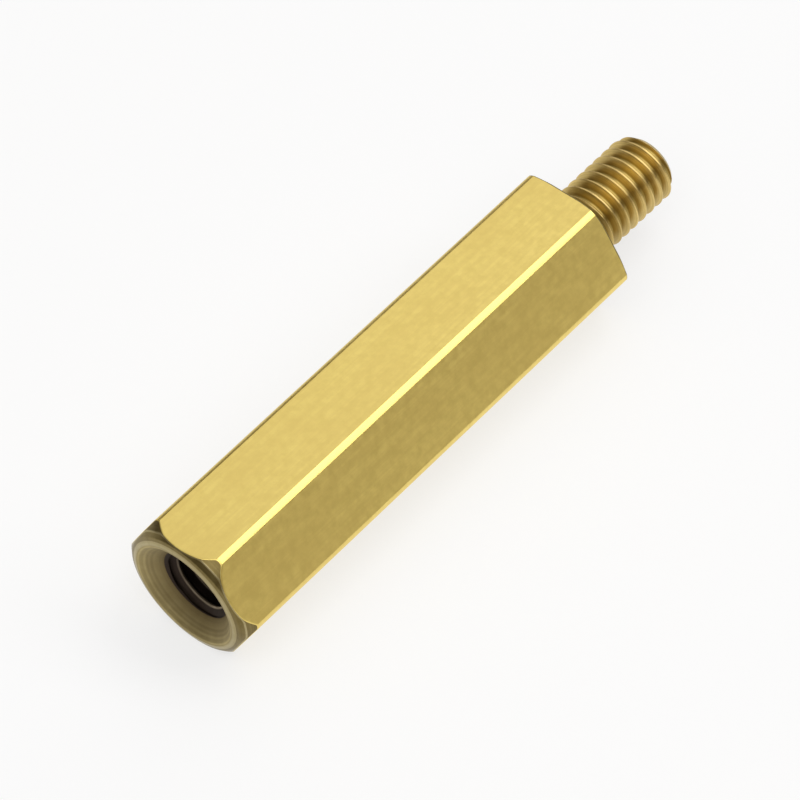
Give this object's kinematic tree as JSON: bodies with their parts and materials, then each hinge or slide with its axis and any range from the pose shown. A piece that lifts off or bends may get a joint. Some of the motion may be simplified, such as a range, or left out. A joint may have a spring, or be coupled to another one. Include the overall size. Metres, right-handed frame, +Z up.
{
  "type": "hex standoff",
  "caption": "Brass hex standoff with a countersunk tapped hole in one end and a threaded stud on the other, for spacing a board off a panel.",
  "frame": {"origin": "on the resting flat, below the middle of the overall length", "axes": "+X along the axis from the tapped end to the stud's tip, +Z up from the resting flat"},
  "size_m": [0.027, 0.0062, 0.0055],
  "materials": {
    "brass": "drawn flats, turned ends, bright and unplated"
  },
  "bodies": {
    "root": {"standoff": "brass"}
  },
  "joints": []
}
